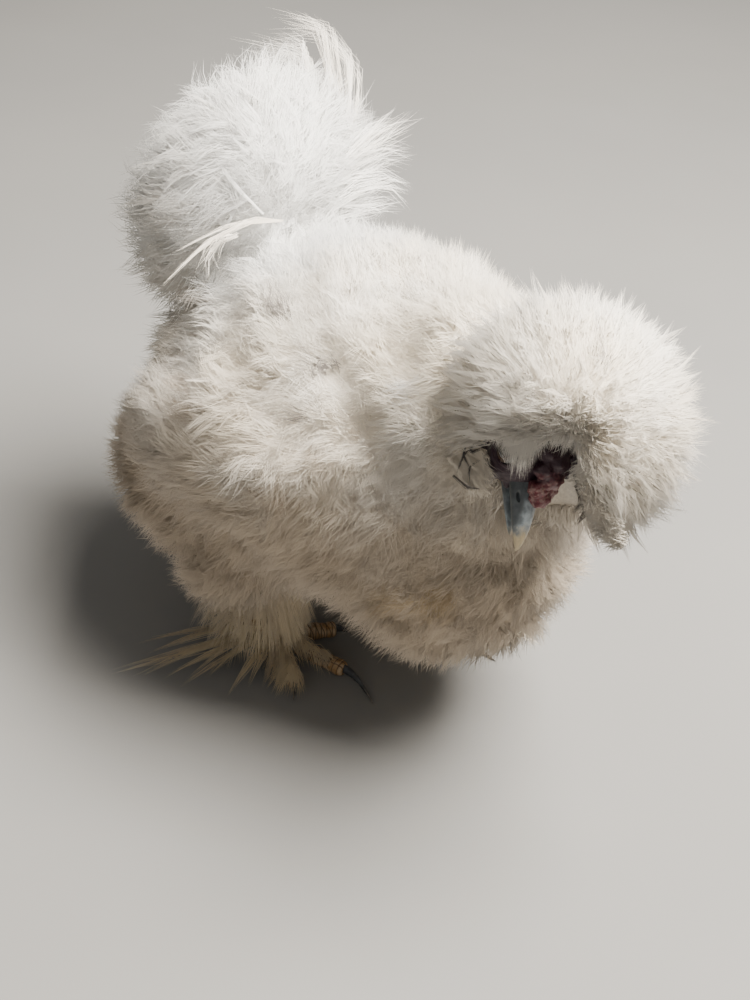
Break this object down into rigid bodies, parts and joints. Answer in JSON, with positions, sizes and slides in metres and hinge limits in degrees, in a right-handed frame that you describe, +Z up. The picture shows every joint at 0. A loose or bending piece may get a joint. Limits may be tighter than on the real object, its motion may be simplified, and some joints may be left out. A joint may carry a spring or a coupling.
{
  "type": "silkie chicken",
  "caption": "Life-size still model of a white silkie chicken, standing with its head bowed and turned, with a round crest, fluffy coat, plumed tail and feathered feet.",
  "frame": {"origin": "on the floor, under the centre of the bird's bounding box", "axes": "+X ahead, the way the body faces; +Y to the bird's left; +Z up"},
  "size_m": [0.2822, 0.2008, 0.2652],
  "materials": {
    "plumage": "soft down",
    "crest_plumage": "soft down",
    "tail_plumage": "soft down",
    "foot_plumage": "stained down",
    "face_skin": "matt skin",
    "comb_skin": "satin skin",
    "lobe_skin": "matt skin",
    "bill_horn": "satin horn",
    "eye_gloss": "wet gloss",
    "toe_skin": "scaly skin",
    "claw_horn": "satin horn"
  },
  "bodies": {
    "root": {"torso": "plumage", "neck": "plumage", "wing_right": "plumage", "wing_left": "plumage", "thigh_right": "plumage", "thigh_left": "plumage", "crest": "crest_plumage", "tail": "tail_plumage", "head": "face_skin", "eye_left": "eye_gloss", "eye_right": "eye_gloss", "bill_upper": "bill_horn", "bill_lower": "bill_horn", "comb": "comb_skin", "wattle_left": "comb_skin", "wattle_right": "comb_skin", "lobe_left": "lobe_skin", "lobe_right": "lobe_skin", "shank_right": "foot_plumage", "shank_left": "foot_plumage", "toe_inner_right": "toe_skin", "toe_middle_right": "toe_skin", "toe_outer_right": "toe_skin", "toe_hind_right": "toe_skin", "toe_fifth_right": "toe_skin", "toe_inner_left": "toe_skin", "toe_middle_left": "toe_skin", "toe_outer_left": "toe_skin", "toe_hind_left": "toe_skin", "toe_fifth_left": "toe_skin", "claw_inner_right": "claw_horn", "claw_middle_right": "claw_horn", "claw_outer_right": "claw_horn", "claw_hind_right": "claw_horn", "claw_fifth_right": "claw_horn", "claw_inner_left": "claw_horn", "claw_middle_left": "claw_horn", "claw_outer_left": "claw_horn", "claw_hind_left": "claw_horn", "claw_fifth_left": "claw_horn"}
  },
  "joints": []
}
